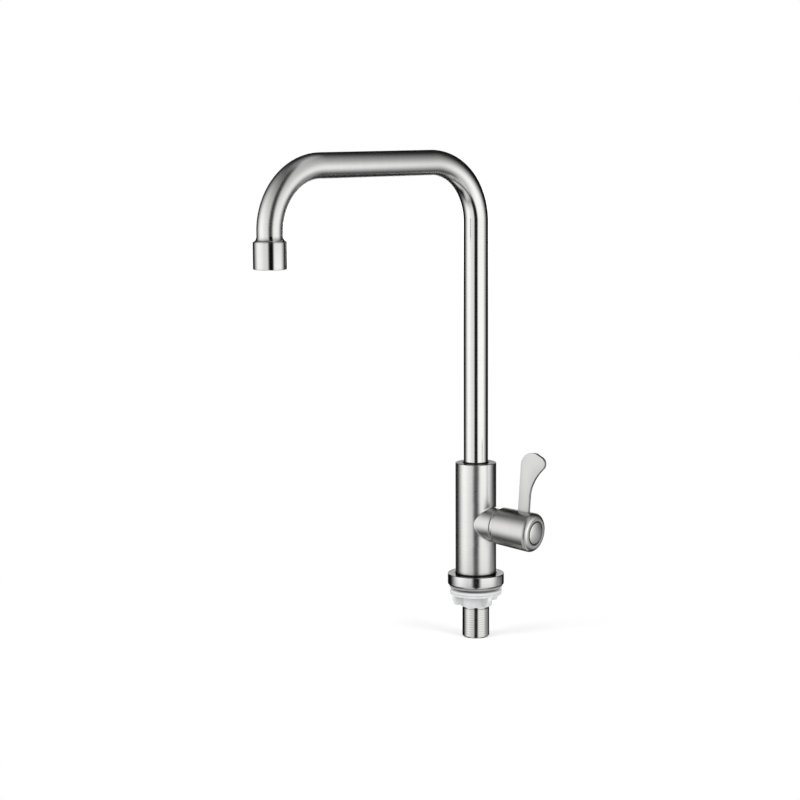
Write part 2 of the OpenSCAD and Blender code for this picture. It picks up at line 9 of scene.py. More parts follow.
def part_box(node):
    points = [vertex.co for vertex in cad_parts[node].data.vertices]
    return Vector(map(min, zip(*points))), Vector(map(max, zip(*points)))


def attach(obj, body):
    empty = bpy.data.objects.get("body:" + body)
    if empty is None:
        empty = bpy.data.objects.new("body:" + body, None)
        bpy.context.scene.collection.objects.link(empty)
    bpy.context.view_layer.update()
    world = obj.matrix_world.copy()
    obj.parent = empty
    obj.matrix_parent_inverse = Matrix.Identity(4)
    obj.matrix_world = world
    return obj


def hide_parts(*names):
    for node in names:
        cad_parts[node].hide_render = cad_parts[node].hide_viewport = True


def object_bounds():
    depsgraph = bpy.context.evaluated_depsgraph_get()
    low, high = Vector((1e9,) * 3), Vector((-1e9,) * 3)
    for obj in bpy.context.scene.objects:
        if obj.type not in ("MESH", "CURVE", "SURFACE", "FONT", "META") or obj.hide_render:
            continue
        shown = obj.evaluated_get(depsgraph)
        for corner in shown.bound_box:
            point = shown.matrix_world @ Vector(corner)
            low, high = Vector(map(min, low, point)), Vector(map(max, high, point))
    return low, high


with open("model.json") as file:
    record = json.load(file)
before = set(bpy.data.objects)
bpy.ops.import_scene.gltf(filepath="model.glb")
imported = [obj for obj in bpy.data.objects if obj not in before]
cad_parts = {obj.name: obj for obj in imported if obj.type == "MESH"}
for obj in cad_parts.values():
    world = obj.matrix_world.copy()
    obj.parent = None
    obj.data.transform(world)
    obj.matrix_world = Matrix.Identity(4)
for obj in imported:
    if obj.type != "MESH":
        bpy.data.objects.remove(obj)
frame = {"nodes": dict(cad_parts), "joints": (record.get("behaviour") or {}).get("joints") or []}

# Dresses the kitchen tap: a steel body on a round base, a square-bend spout and a side lever.
# Sizes in the dictionaries are in millimetres and degrees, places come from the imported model.
mm = 0.001
turn = 2 * math.pi
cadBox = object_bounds()
joints = {joint["name"]: joint for joint in frame["joints"]}
scene = bpy.context.scene


def linked(name, data):
    made = bpy.data.objects.new(name, data)
    scene.collection.objects.link(made)
    return made


# Camera, as the photograph was taken

cameraLook = {
    "side": 36.77,          # degrees round from straight in front
    "height": 7.84,         # degrees above level
    "roll": -0.28,
    "distance": 1632.25,
    "lens": 95.776,
    "sensor": 36.0,
    "nearest": 50.0,
    "farthest": 60000.0,
    "aimRight": -58.15,
    "aimUp": 145.74,
}


# Right, up, back to the camera, and the level part of that
def cameraAxes(look):
    side, height = math.radians(look["side"]), math.radians(look["height"])
    right = Vector((math.cos(side), math.sin(side), 0))
    back = Vector((math.sin(side) * math.cos(height), -math.cos(side) * math.cos(height), math.sin(height)))
    return right, back.cross(right), back, Vector((back.x, back.y, 0)).normalized()


def placeCamera(look):
    right, up, back, _ = cameraAxes(look)
    roll = math.radians(look["roll"])
    data = bpy.data.cameras.new("camera")
    data.lens = look["lens"]
    data.sensor_width = look["sensor"]
    data.clip_start, data.clip_end = look["nearest"] * mm, look["farthest"] * mm
    camera = linked("camera", data)
    aim = right * look["aimRight"] * mm + Vector((0, 0, look["aimUp"] * mm))
    acrossAxis = right * math.cos(roll) + up * math.sin(roll)
    upAxis = up * math.cos(roll) - right * math.sin(roll)
    frameAxes = Matrix((acrossAxis, upAxis, back)).transposed().to_4x4()
    camera.matrix_world = Matrix.Translation(aim + back * look["distance"] * mm) @ frameAxes
    scene.camera = camera


placeCamera(cameraLook)
print("camera placed")


# Node maths: a socket that can stand in a sum

def socketOf(sockets, key):
    if isinstance(key, int):
        return sockets[key]
    for socket in sockets:
        if socket.identifier == key:
            return socket
    return next(socket for socket in sockets if socket.name == key and socket.enabled)


class Signal:
    def __init__(self, tree, socket=None):
        self.tree = tree
        self.socket = socket

    def node(self, kind, values=None, output=0, **settings):
        made = self.tree.nodes.new(kind)
        for key, value in settings.items():
            setattr(made, key, value)
        for key, value in (values or {}).items():
            target = socketOf(made.inputs, key)
            if isinstance(value, Signal):
                self.tree.links.new(value.socket, target)
            else:
                target.default_value = value
        return Signal(self.tree, socketOf(made.outputs, output)) if made.outputs else made

    def out(self, key):
        return Signal(self.tree, socketOf(self.socket.node.outputs, key))

    def math(self, operation, *terms):
        return self.node("ShaderNodeMath", dict(enumerate(terms)), operation=operation)

    def __add__(self, other):
        return self.math("ADD", self, other)

    def __radd__(self, other):
        return self.math("ADD", other, self)

    def __sub__(self, other):
        return self.math("SUBTRACT", self, other)

    def __rsub__(self, other):
        return self.math("SUBTRACT", other, self)

    def __mul__(self, other):
        return self.math("MULTIPLY", self, other)

    def __rmul__(self, other):
        return self.math("MULTIPLY", other, self)

    def __truediv__(self, other):
        return self.math("DIVIDE", self, other)

    # 0 at start and 1 at end, with a soft change between
    def step(self, start, end):
        values = {"Value": self, "From Min": start, "From Max": end, "To Min": 0.0, "To Max": 1.0}
        return self.node("ShaderNodeMapRange", values, interpolation_type="SMOOTHSTEP")


def newMaterial(name):
    material = bpy.data.materials.new(name)
    material.use_nodes = True
    material.node_tree.nodes.clear()
    return material, Signal(material.node_tree)


def output(shade, surface):
    shade.node("ShaderNodeOutputMaterial", {"Surface": surface})


# Either colour may be a plain one or a signal
def mixColour(shade, amount, first, second):
    first, second = (colour if isinstance(colour, Signal) else (*colour, 1) for colour in (first, second))
    values = {"Factor_Float": amount, "A_Color": first, "B_Color": second}
    return shade.node("ShaderNodeMix", values, "Result_Color", data_type="RGBA")


def noise(shade, vector, detail, scale=1.0):
    values = {"Vector": vector, "Scale": scale, "Detail": detail, "Roughness": 0.6}
    return shade.node("ShaderNodeTexNoise", values)


def partsOf(shade, vector):
    parts = shade.node("ShaderNodeSeparateXYZ", {"Vector": vector})
    return [parts.out(axis) for axis in "XYZ"]


# Object coordinates turned into a piece's own: its axis becomes Z and its middle the origin
def ownCoordinates(shade, place):
    values = {"Location": place.to_translation(), "Rotation": place.to_euler()}
    values["Vector"] = shade.node("ShaderNodeTexCoord", output="Object")
    return shade.node("ShaderNodeMapping", values, vector_type="TEXTURE")


# Brush lines that run round an axis: fine along the outline, long round it
def roundAxis(shade, place):
    x, y, z = partsOf(shade, ownCoordinates(shade, place))
    return x, y, z + shade.math("SQRT", x * x + y * y)


# The spout's tube stores how far along it each point lies
def alongTube(shade, place):
    x, _, z = partsOf(shade, ownCoordinates(shade, place))
    return x, z, shade.node("ShaderNodeAttribute", output="Fac", attribute_name="along")


# Straight grain along a flat plate's own Z
def alongPlate(shade, place):
    x, y, z = partsOf(shade, ownCoordinates(shade, place))
    return y, z, x


grainLook = {
    "fine": (45.0, 1.5), "broad": (20.0, 2.0),  # change along a line's run, detail
    "smudge": (2.0, 35.0),                      # detail, scale
    "fineShare": 0.6, "grainRoughness": 0.04, "smudgeRoughness": 0.03, "bumpDistance": 0.04, "turn": 0.25,
    "softFrom": 200.0, "softTo": 270.0,         # length along the spout over which it turns softer
}


def streaks(shade, coordinates, lines, reach, detail):
    first, second, line = coordinates
    values = {"X": first * reach, "Y": second * reach, "Z": line * lines}
    return noise(shade, shade.node("ShaderNodeCombineXYZ", values), detail)


# Brushed steel: colour, roughness and bump follow the same brush lines. A look's bands fade into another colour
# from one height to another along the piece's own axis; they hold painted shade at joints and round the
# button's hole, and a painted lighter end on the cap
def brushedSteel(name, look, coordinates, place=Matrix()):
    material, shade = newMaterial(name)
    lines = coordinates(shade, place)
    fine = streaks(shade, lines, look["fineLines"], *grainLook["fine"])
    broad = streaks(shade, lines, look["broadLines"], *grainLook["broad"])
    grain = fine * grainLook["fineShare"] + broad * (1 - grainLook["fineShare"])
    spread = (grain - 0.5) * look["contrast"] + 0.5
    smudge = noise(shade, shade.node("ShaderNodeTexCoord", output="Object"), *grainLook["smudge"])
    roughness = look["roughness"] + (grain - 0.5) * grainLook["grainRoughness"]
    roughness = roughness + (smudge - 0.5) * grainLook["smudgeRoughness"]
    colour = mixColour(shade, spread, look["dark"], look["light"])
    # each band paints shade or light into the colour
    for start, end, paint, rougher in look["bands"]:
        band = partsOf(shade, ownCoordinates(shade, place))[2].step(start * mm, end * mm)
        roughness = roughness + band * rougher
        colour = mixColour(shade, band, colour, paint)
    if look["softer"]:
        along = shade.node("ShaderNodeAttribute", output="Fac", attribute_name="along")
        bent = along.step(grainLook["softFrom"] * mm, grainLook["softTo"] * mm)
        roughness = roughness + bent * look["softer"]
    tint = look["edgeTint"]
    bump = shade.node("ShaderNodeBump", {
        "Strength": look["bump"], "Distance": grainLook["bumpDistance"] * mm, "Height": grain})
    output(shade, shade.node("ShaderNodeBsdfPrincipled", {
        "Base Color": colour,
        "Specular Tint": (tint, tint, tint, 1),
        "Metallic": 1.0,
        "Roughness": roughness,
        "Normal": bump,
        "Anisotropic": look["anisotropic"],
        "Anisotropic Rotation": grainLook["turn"],
    }))
    return material


mouldLook = {
    "bumpDistance": 0.05, "poreRoughness": 0.15, "poreDetail": 2.0, "cloudEdge": (0.3, 0.7), "cloudDetail": 3.0,
}


# Rubber, plastics and ceramic: a plain colour with a little unevenness
def mouldedFinish(name, look):
    material, shade = newMaterial(name)
    where = shade.node("ShaderNodeTexCoord", output="Object")
    cloud = noise(shade, where, mouldLook["cloudDetail"], look["cloud"])
    pores = noise(shade, where, mouldLook["poreDetail"], look["pores"])
    bump = shade.node("ShaderNodeBump", {
        "Strength": look["bump"], "Distance": mouldLook["bumpDistance"] * mm, "Height": pores})
    output(shade, shade.node("ShaderNodeBsdfPrincipled", {
        "Base Color": mixColour(shade, cloud.step(*mouldLook["cloudEdge"]), look["dark"], look["light"]),
        "Roughness": look["roughness"] + (pores - 0.5) * mouldLook["poreRoughness"],
        "Normal": bump,
        **look.get("constants", {}),
    }))
    return material


# Meshes

meshLook = {"merge": 0.0001, "smoothAngle": 32.0, "bevelSteps": 3, "bevelRound": 0.5}


def newPiece(name, vertices, faces):
    mesh = bpy.data.meshes.new(name)
    mesh.from_pydata(vertices, [], faces)
    piece = linked(name, mesh)
    tidyMesh(piece)
    return piece


def pieceFrom(name, shape):
    mesh = bpy.data.meshes.new(name)
    shape.to_mesh(mesh)
    shape.free()
    return linked(name, mesh)


def smooth(piece):
    piece.data.shade_smooth()
    piece.data.set_sharp_from_angle(angle=math.radians(meshLook["smoothAngle"]))


def tidyMesh(piece):
    shape = bmesh.new()
    shape.from_mesh(piece.data)
    bmesh.ops.remove_doubles(shape, verts=shape.verts, dist=meshLook["merge"] * mm)
    bmesh.ops.recalc_face_normals(shape, faces=shape.faces)
    shape.to_mesh(piece.data)
    shape.free()
    smooth(piece)


# A plate: a loop of points pushed out by a vector, with its edges rounded
def plateFrom(name, points, push, edge):
    shape = bmesh.new()
    face = shape.faces.new([shape.verts.new(point) for point in points])
    moved = bmesh.ops.extrude_face_region(shape, geom=[face])["geom"]
    bmesh.ops.translate(shape, vec=push, verts=[item for item in moved if isinstance(item, bmesh.types.BMVert)])
    flats = [flat for flat in shape.faces if len(flat.verts) > 4]
    bmesh.ops.bevel(
        shape, geom=list({side for flat in flats for side in flat.edges}), offset=edge * mm,
        segments=meshLook["bevelSteps"], profile=meshLook["bevelRound"], affect="EDGES")
    bmesh.ops.recalc_face_normals(shape, faces=shape.faces)
    return pieceFrom(name, shape)


# Rounds the corners of an outline: each is (radius, height) or (radius, height, rounding)
def rounded(corners, steps=5):
    outline = []
    for i, corner in enumerate(corners):
        here = Vector(corner[:2])
        if len(corner) < 3:
            outline.append(here)
            continue
        back = (Vector(corners[i - 1][:2]) - here).normalized()
        ahead = (Vector(corners[(i + 1) % len(corners)][:2]) - here).normalized()
        half = back.angle(ahead) / 2
        reach = corner[2] / math.tan(half)
        middle = here + (back + ahead).normalized() * corner[2] / math.sin(half)
        first, last = here + back * reach - middle, here + ahead * reach - middle
        sweep = first.angle(last)
        for k in range(steps + 1):
            t = k / steps
            blend = first * math.sin((1 - t) * sweep) + last * math.sin(t * sweep)
            outline.append(middle + blend / math.sin(sweep))
    return outline


# Turns a closed outline round the Z axis of a place
def turned(name, outline, place=Matrix(), steps=160):
    vertices, faces, count = [], [], len(outline)
    for j in range(steps):
        angle, here, after = turn * j / steps, j * count, (j + 1) % steps * count
        for i, (radius, height) in enumerate(outline):
            point = Vector((radius * math.cos(angle), radius * math.sin(angle), height)) * mm
            vertices.append(place @ point)
            up = (i + 1) % count
            faces.append((here + i, here + up, after + up, after + i))
    return newPiece(name, vertices, faces)


def wear(piece, material):
    piece.data.materials.clear()
    piece.data.materials.append(material)


def settle(piece, body, material, node):
    wear(piece, material)
    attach(piece, body)
    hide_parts(node)


# Geometry Nodes: a tree with named inputs, run once on a piece

def newTree(name, inputs):
    tree = bpy.data.node_groups.new(name, "GeometryNodeTree")
    tree.interface.new_socket("Geometry", in_out="INPUT", socket_type="NodeSocketGeometry")
    for label, value in inputs.items():
        kind = {float: "NodeSocketFloat", int: "NodeSocketInt", str: "NodeSocket" + str(value)}[type(value)]
        item = tree.interface.new_socket(label, in_out="INPUT", socket_type=kind)
        if not isinstance(value, str):
            item.default_value = value
    tree.interface.new_socket("Geometry", in_out="OUTPUT", socket_type="NodeSocketGeometry")
    start = tree.nodes.new("NodeGroupInput")
    return tree, Signal(tree, start.outputs[0])


def endTree(start, shape):
    shape = start.node("GeometryNodeRealizeInstances", {"Geometry": shape})
    shape = start.node("GeometryNodeSetMaterial", {"Geometry": shape, "Material": start.out("Material")})
    start.node("NodeGroupOutput", {0: shape})


def runTree(piece, tree, values):
    modifier = piece.modifiers.new(tree.name, "NODES")
    modifier.node_group = tree
    for item in tree.interface.items_tree:
        if item.in_out == "INPUT" and item.name in values:
            modifier[item.identifier] = values[item.name]
    applyModifiers(piece)


def applyModifiers(piece):
    graph = bpy.context.evaluated_depsgraph_get()
    result = piece.evaluated_get(graph)
    mesh = bpy.data.meshes.new_from_object(result, preserve_all_data_layers=True, depsgraph=graph)
    piece.modifiers.clear()
    piece.data = mesh


threadLook = {"wallMargin": 0.02}   # points this much inside the radius still belong to the wall


# Presses a shallow screw thread into a turned wall
def threadTree():
    tree, start = newTree("thread", {
        "Radius": 0.01, "Pitch": 0.0018, "Depth": 0.0001, "Low": 0.0, "High": 0.1, "Material": "Material"})
    x, y, z = partsOf(start, start.node("GeometryNodeInputPosition"))
    pitch, low, high = start.out("Pitch"), start.out("Low"), start.out("High")
    radius = start.math("SQRT", x * x + y * y)
    turns = z / pitch - start.math("ARCTAN2", y, x) / turn
    groove = start.math("COSINE", turns * turn) * 0.5 + 0.5
    ends = z.step(low, low + pitch) * z.step(high, high - pitch)
    wall = start.math("GREATER_THAN", radius, start.out("Radius") - threadLook["wallMargin"] * mm)
    scale = 1 - start.out("Depth") * groove * ends * wall / radius
    moved = start.node("ShaderNodeCombineXYZ", {"X": x * scale, "Y": y * scale, "Z": z})
    endTree(start, start.node("GeometryNodeSetPosition", {"Geometry": start, "Position": moved}))
    return tree


# A bent tube: a square path with rounded corners and a round profile
def tubeTree():
    tree, start = newTree("bentTube", {
        "Radius": 0.0095, "Foot": 0.08, "Top": 0.3273, "Reach": 0.1937, "End": 0.28, "Bend": 0.045,
        "Turn": 0.0, "Steps Round": 128, "Steps Bend": 56, "Material": "Material"})
    near, far, top = 0.0, 0 - start.out("Reach"), start.out("Top")
    corners = [(near, start.out("Foot")), (near, top), (far, top), (far, start.out("End"))]
    path = start.node("GeometryNodeCurvePrimitiveQuadrilateral", {
        f"Point {i}": start.node("ShaderNodeCombineXYZ", {"Y": y, "Z": z})
        for i, (y, z) in enumerate(corners, 1)}, mode="POINTS")
    path = start.node("GeometryNodeSetSplineCyclic", {"Geometry": path, "Cyclic": False})
    bend = {"Curve": path, "Count": start.out("Steps Bend"), "Radius": start.out("Bend"), "Limit Radius": True}
    path = start.node("GeometryNodeFilletCurve", bend, mode="POLY")
    length = start.node("GeometryNodeSplineParameter", output="Length")
    stored = {"Geometry": path, "Name": "along", "Value": length}
    path = start.node("GeometryNodeStoreNamedAttribute", stored, data_type="FLOAT", domain="POINT")
    profile = start.node("GeometryNodeCurvePrimitiveCircle", {
        "Resolution": start.out("Steps Round"), "Radius": start.out("Radius")})
    tube = start.node("GeometryNodeCurveToMesh", {"Curve": path, "Profile Curve": profile, "Fill Caps": False})
    rotation = start.node("ShaderNodeCombineXYZ", {"Z": start.out("Turn")})
    tube = start.node("GeometryNodeTransform", {"Geometry": tube, "Rotation": rotation})
    endTree(start, tube)
    return tree


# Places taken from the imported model

def middleOf(node):
    low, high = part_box(node)
    return (low + high) / 2


branchAxis = Vector(joints["handle_turn"]["axis"])
branchPlace = Matrix.Translation(Vector(joints["handle_turn"]["pos_m"]))
branchPlace = branchPlace @ Matrix.Rotation(math.atan2(branchAxis.x, branchAxis.z), 4, "Y")
outletMiddle = middleOf("aerator_housing")
outletPlace = Matrix.Translation((outletMiddle.x, outletMiddle.y, 0))
spoutTurn = math.atan2(outletMiddle.x, -outletMiddle.y)
spoutPlace = Matrix.Rotation(spoutTurn, 4, "Z")


def heights(node):
    low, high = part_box(node)
    return low.z / mm, high.z / mm


# Radius of a piece that stands on the column's axis
def radiusOf(node):
    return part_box(node)[1].y / mm


# Radii from a dictionary's diameters
def radii(size, *names):
    return [size[name] / 2 for name in names]


# A flat ring with rounded outer edges
def makeRing(size, name, body, material, node):
    (low, high), radius, hole = heights(node), radiusOf(node), size["hole"] / 2
    outline = [(hole, low), (radius, low, size["rounding"]), (radius, high, size["rounding"]), (hole, high)]
    settle(turned(name, rounded(outline, size["roundSteps"])), body, material, node)


# Finishes

# Painted colours: shade at the body's foot and the tube's foot, shade round the button's hole, light on the
# cap's end face
paintedJointShade, gapShadow, paintedEndLight = (0.05, 0.05, 0.05), (0.02, 0.02, 0.02), (0.88, 0.875, 0.87)
bodyLook = {
    "dark": (0.66, 0.66, 0.655), "light": (0.79, 0.79, 0.785),
    "roughness": 0.28, "contrast": 0.7, "fineLines": 1700.0, "broadLines": 300.0,
    "bump": 0.008, "anisotropic": 0.3,
    "edgeTint": 1.0,    # below 1, the steel is darker where it is seen at a low angle
    "softer": 0.0,      # extra roughness of the spout's bent part
    "bands": [],        # (from, to, colour, extra roughness)
}
# The neck is the body's own steel painted darker: painted shade on the neck
neckPaintedShadeLook = dict(bodyLook, roughness=0.3, dark=(0.57, 0.57, 0.565), light=(0.69, 0.69, 0.685))
# painted shade along the body's foot, where it meets the flange
columnLook = dict(bodyLook, edgeTint=0.2, bands=[(11.8, 11.3, paintedJointShade, 0.2)])
satinLook = dict(bodyLook, anisotropic=0.0)
# the tube's band is a painted shadow at its foot, where it goes into the body
tubeLook = dict(
    satinLook, roughness=0.095, bump=0.006, softer=0.15,
    dark=(0.64, 0.64, 0.635), light=(0.78, 0.78, 0.775), bands=[(98.4, 97.9, paintedJointShade, 0.2)])
tipLook = dict(
    tubeLook, anisotropic=0.4, softer=0.0, dark=(0.60, 0.60, 0.595), light=(0.71, 0.71, 0.705), bands=[])
handleLook = dict(
    satinLook, edgeTint=0.35, roughness=0.31, dark=(0.52, 0.515, 0.51), light=(0.68, 0.675, 0.67))
# painted light: the cap's end face is painted paler than the rest of the cap
capLook = dict(handleLook, bands=[(54.5, 55.2, paintedEndLight, 0.0)])
buttonLook = dict(
    handleLook, edgeTint=1.0, roughness=0.4,
    dark=(0.83, 0.825, 0.82), light=(0.93, 0.925, 0.92), bands=[(55.5, 55.4, gapShadow, 0.0)])
leverLook = dict(satinLook, roughness=0.34, dark=(0.55, 0.55, 0.545), light=(0.65, 0.65, 0.645))
flangeLook = dict(
    bodyLook, edgeTint=0.15, roughness=0.15, dark=(0.61, 0.61, 0.605), light=(0.74, 0.74, 0.735))
shankLook = dict(flangeLook, roughness=0.14)
collarLook = dict(satinLook, roughness=0.26, dark=(0.56, 0.55, 0.53), light=(0.70, 0.69, 0.67))
springLook = dict(satinLook, roughness=0.3)
brassLook = dict(
    satinLook, dark=(0.55, 0.40, 0.19), light=(0.76, 0.58, 0.31),
    contrast=1.0, fineLines=2200.0, broadLines=380.0, bump=0.1)
rubberLook = {
    "dark": (0.018, 0.018, 0.019), "light": (0.032, 0.032, 0.033),
    "roughness": 0.62, "cloud": 90.0, "pores": 3200.0, "bump": 0.3,
}
gasketLook = dict(rubberLook, dark=(0.34, 0.34, 0.34), light=(0.42, 0.42, 0.42))
bushLook = dict(
    rubberLook, dark=(0.012, 0.012, 0.013), light=(0.022, 0.022, 0.023), roughness=0.7,
    constants={"Specular IOR Level": 0.1})
insertLook = {
    "dark": (0.72, 0.72, 0.70), "light": (0.82, 0.82, 0.80),
    "roughness": 0.4, "cloud": 160.0, "pores": 2600.0, "bump": 0.12,
}
nutLook = {
    "dark": (0.74, 0.745, 0.75), "light": (0.84, 0.845, 0.85),
    "roughness": 0.42, "cloud": 130.0, "pores": 1800.0, "bump": 0.15,
    "constants": {"Subsurface Weight": 0.35, "Subsurface Radius": (1.0, 1.0, 1.0), "Subsurface Scale": 0.003},
}
ceramicLook = dict(insertLook, dark=(0.70, 0.68, 0.62), light=(0.80, 0.78, 0.72), roughness=0.2)

bodySteel = brushedSteel("bodySteel", columnLook, roundAxis)
neckPaintedShadeSteel = brushedSteel("neckPaintedShadeSteel", neckPaintedShadeLook, roundAxis, branchPlace)
tubeSteel = brushedSteel("tubeSteel", tubeLook, alongTube, spoutPlace)
tipSteel = brushedSteel("tipSteel", tipLook, roundAxis, outletPlace)
flangeSteel = brushedSteel("flangeSteel", flangeLook, roundAxis)
shankSteel = brushedSteel("shankSteel", shankLook, roundAxis)
capSteel = brushedSteel("capSteel", capLook, roundAxis, branchPlace)
buttonSteel = brushedSteel("buttonSteel", buttonLook, roundAxis, branchPlace)
leverSteel = brushedSteel("leverSteel", leverLook, alongPlate, branchPlace)
springSteel = brushedSteel("springSteel", springLook, roundAxis)
branchSpringSteel = brushedSteel("branchSpringSteel", springLook, roundAxis, branchPlace)
cartridgeBrass = brushedSteel("cartridgeBrass", brassLook, roundAxis, branchPlace)
platedBrass = brushedSteel("platedBrass", collarLook, roundAxis, branchPlace)
ferruleBrass = brushedSteel("ferruleBrass", brassLook, roundAxis)
blackRubber = mouldedFinish("blackRubber", rubberLook)
greyRubber = mouldedFinish("greyRubber", gasketLook)
blackPlastic = mouldedFinish("blackPlastic", bushLook)
whitePlastic = mouldedFinish("whitePlastic", insertLook)
nutPlastic = mouldedFinish("nutPlastic", nutLook)
discCeramic = mouldedFinish("discCeramic", ceramicLook)
print("finishes made")


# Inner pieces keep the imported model's shapes

carriedOver = {
    "shank_washer": blackRubber, "cartridge_housing": platedBrass, "cartridge_o_ring": blackRubber,
    "seat_seal": blackRubber, "fixed_disc": discCeramic, "swivel_bush": blackPlastic,
    "snap_ring": springSteel, "spout_ferrule": ferruleBrass, "spout_o_rings": blackRubber,
    "aerator_washer": blackRubber, "aerator_insert": whitePlastic, "aerator_screen": springSteel,
    "cartridge_stem": cartridgeBrass, "moving_disc": discCeramic, "stem_o_ring": blackRubber,
    "stem_clip": branchSpringSteel, "handle_screw": branchSpringSteel,
}
for node, material in carriedOver.items():
    wear(frame["nodes"][node], material)
print("inner pieces dressed")


# Base flange and its gasket

flangeSize = {
    "topRounding": 0.5, "footRounding": 1.6, "recess": 0.6, "recessGap": 0.6, "recessRounding": 0.12,
    "hole": 21.555, "roundSteps": 8, "steps": 200,
}


def makeFlange(size):
    low, high = heights("base_flange")
    radius, hole = radiusOf("base_flange"), size["hole"] / 2
    recess, floor = radiusOf("body_column") + size["recessGap"], high - size["recess"]
    outline = rounded([
        (hole, low), (radius, low, size["footRounding"]), (radius, high, size["topRounding"]),
        (recess, high, size["recessRounding"]), (recess, floor), (hole, floor)], size["roundSteps"])
    flange = turned("baseFlange", outline, steps=size["steps"])
    settle(flange, "tap_body", flangeSteel, "base_flange")


gasketSize = {"rounding": 0.35, "hole": 21.555, "roundSteps": 4}

makeFlange(flangeSize)
makeRing(gasketSize, "baseGasket", "tap_body", greyRubber, "base_gasket")
print("base made")


# Threaded shank

shankSize = {
    "bore": 13.0, "boreRounding": 0.3, "endBevel": 1.0, "endRounding": 0.25,
    "reliefTop": -16.1, "reliefHeight": 0.8, "reliefDepth": 0.9,
    "pitch": 1.814, "threadDepth": 0.04, "rowsPerPitch": 6, "steps": 96,
}


def makeShank(size):
    low, high = heights("threaded_shank")
    radius, bore = radiusOf("threaded_shank"), size["bore"] / 2
    row = size["pitch"] / size["rowsPerPitch"]
    relief, reliefLow = radius - size["reliefDepth"], size["reliefTop"] - size["reliefHeight"]

    def wall(start, end):
        count = max(1, round((end - start) / row))
        return [(radius, start + (end - start) * i / count) for i in range(count + 1)]

    outline = rounded([
        (bore, low, size["boreRounding"]), (radius - size["endBevel"], low, size["endRounding"]),
        *wall(low + size["endBevel"], reliefLow), (relief, reliefLow), (relief, size["reliefTop"]),
        *wall(size["reliefTop"], high), (bore, high)])
    shank = turned("threadedShank", outline, steps=size["steps"])
    runTree(shank, threadTree(), {
        "Radius": radius * mm, "Pitch": size["pitch"] * mm, "Depth": size["threadDepth"] * mm,
        "Low": low * mm, "High": high * mm, "Material": shankSteel})
    settle(shank, "tap_body", shankSteel, "threaded_shank")


makeShank(shankSize)
print("shank threaded")


# Body: a column with the neck of the valve branch, one skin with a small fillet between them

bodySize = {
    "rounding": 0.5, "socket": 20.2, "socketDepth": 31.0, "socketRounding": 0.2,
    "snapGroove": 22.0, "snapLow": 77.5, "snapHigh": 79.1,
    "shankHole": 21.055, "shankRoom": 19.51, "holeRounding": 0.2, "plenum": 16.355, "plenumHeight": 4.0,
    "neckFoot": 28.6, "neckMouth": 25.4, "neckLength": 20.5, "neckEnd": 2.0, "fillet": 1.1,
    "mouthRounding": 0.4, "thread": 20.0, "threadDepth": 8.3, "threadRounding": 0.15,
    "nose": 17.2, "seat": -4.0, "seatHole": 8.0, "seatDepth": 5.0,
    "steps": 192, "roundSteps": 6, "longWall": 50.0,
    "windowHalf": 40, "windowRows": 36, "windowLow": 33.0, "windowHigh": 68.0,
    "patchRings": 7, "filletSteps": 7, "neckRows": 8, "neckClear": 0.3, "halvings": 40, "nudge": 0.001,
}


def neckPoint(along, radius, angle):
    local = Vector((-radius * math.sin(angle), radius * math.cos(angle), along))
    return branchPlace @ (local * mm) / mm


def neckRadius(size, along):
    return (size["neckFoot"] + (size["neckMouth"] - size["neckFoot"]) * along / size["neckLength"]) / 2


# Where the neck meets the column at one angle, and the arc that rounds the corner there
def neckCorner(size, columnRadius, angle):
    near, far = 0.0, size["neckLength"]
    for _ in range(size["halvings"]):
        along = (near + far) / 2
        point = neckPoint(along, neckRadius(size, along), angle)
        if math.hypot(point.x, point.y) < columnRadius:
            near = along
        else:
            far = along
    columnNormal = Vector((point.x, point.y, 0)).normalized()
    ahead = neckPoint(along + 1, neckRadius(size, along + 1), angle) - point
    acrossNeck = neckPoint(along, neckRadius(size, along), angle + size["nudge"]) - point
    neckNormal = acrossNeck.cross(ahead).normalized()
    if neckNormal.dot(point - neckPoint(along, 0, angle)) < 0:
        neckNormal = -neckNormal
    middle = point + (columnNormal + neckNormal) * size["fillet"] / (1 + columnNormal.dot(neckNormal))
    arc = []
    for k in range(size["filletSteps"] + 1):
        direction = columnNormal.slerp(neckNormal, k / size["filletSteps"])
        arc.append(middle - direction * size["fillet"])
    arc[0] = Vector((arc[0].x, arc[0].y, 0)).normalized() * columnRadius + Vector((0, 0, arc[0].z))
    return arc


def columnOutline(size):
    low, high = heights("body_column")
    radius, floor, room = radiusOf("body_column"), high - size["socketDepth"], low + size["shankRoom"]
    plenum, hole, socket, groove = radii(size, "plenum", "shankHole", "socket", "snapGroove")
    return rounded([
        (0, room + size["plenumHeight"]), (plenum, room + size["plenumHeight"]), (plenum, room), (hole, room),
        (hole, low, size["holeRounding"]), (radius, low, size["rounding"]), (radius, high, size["rounding"]),
        (socket, high, size["socketRounding"]), (socket, size["snapHigh"]), (groove, size["snapHigh"]),
        (groove, size["snapLow"]), (socket, size["snapLow"]), (socket, floor), (0, floor)], size["roundSteps"])


# From the neck's last bit round its mouth and down to the valve's seat, as (along, radius)
def mouthOutline(size):
    mouth, seat = size["neckLength"], size["seat"]
    threadEnd, seatEnd = mouth - size["threadDepth"], seat - size["seatDepth"]
    thread, nose, hole = radii(size, "thread", "nose", "seatHole")
    return rounded([
        (mouth - size["neckEnd"], neckRadius(size, mouth - size["neckEnd"])),
        (mouth, size["neckMouth"] / 2, size["mouthRounding"]), (mouth, thread, size["threadRounding"]),
        (threadEnd, thread), (threadEnd, nose), (seat, nose), (seat, hole), (seatEnd, hole), (seatEnd, 0)])


# The edge of the window in the column's wall, anticlockwise from its lower right corner
def windowEdge(size):
    half, rows = size["windowHalf"], size["windowRows"]
    edge = [(half, row) for row in range(rows)]
    edge += [(step, rows) for step in range(half, -half, -1)]
    edge += [(-half, row) for row in range(rows, 0, -1)]
    return edge + [(step, 0) for step in range(-half, half)]


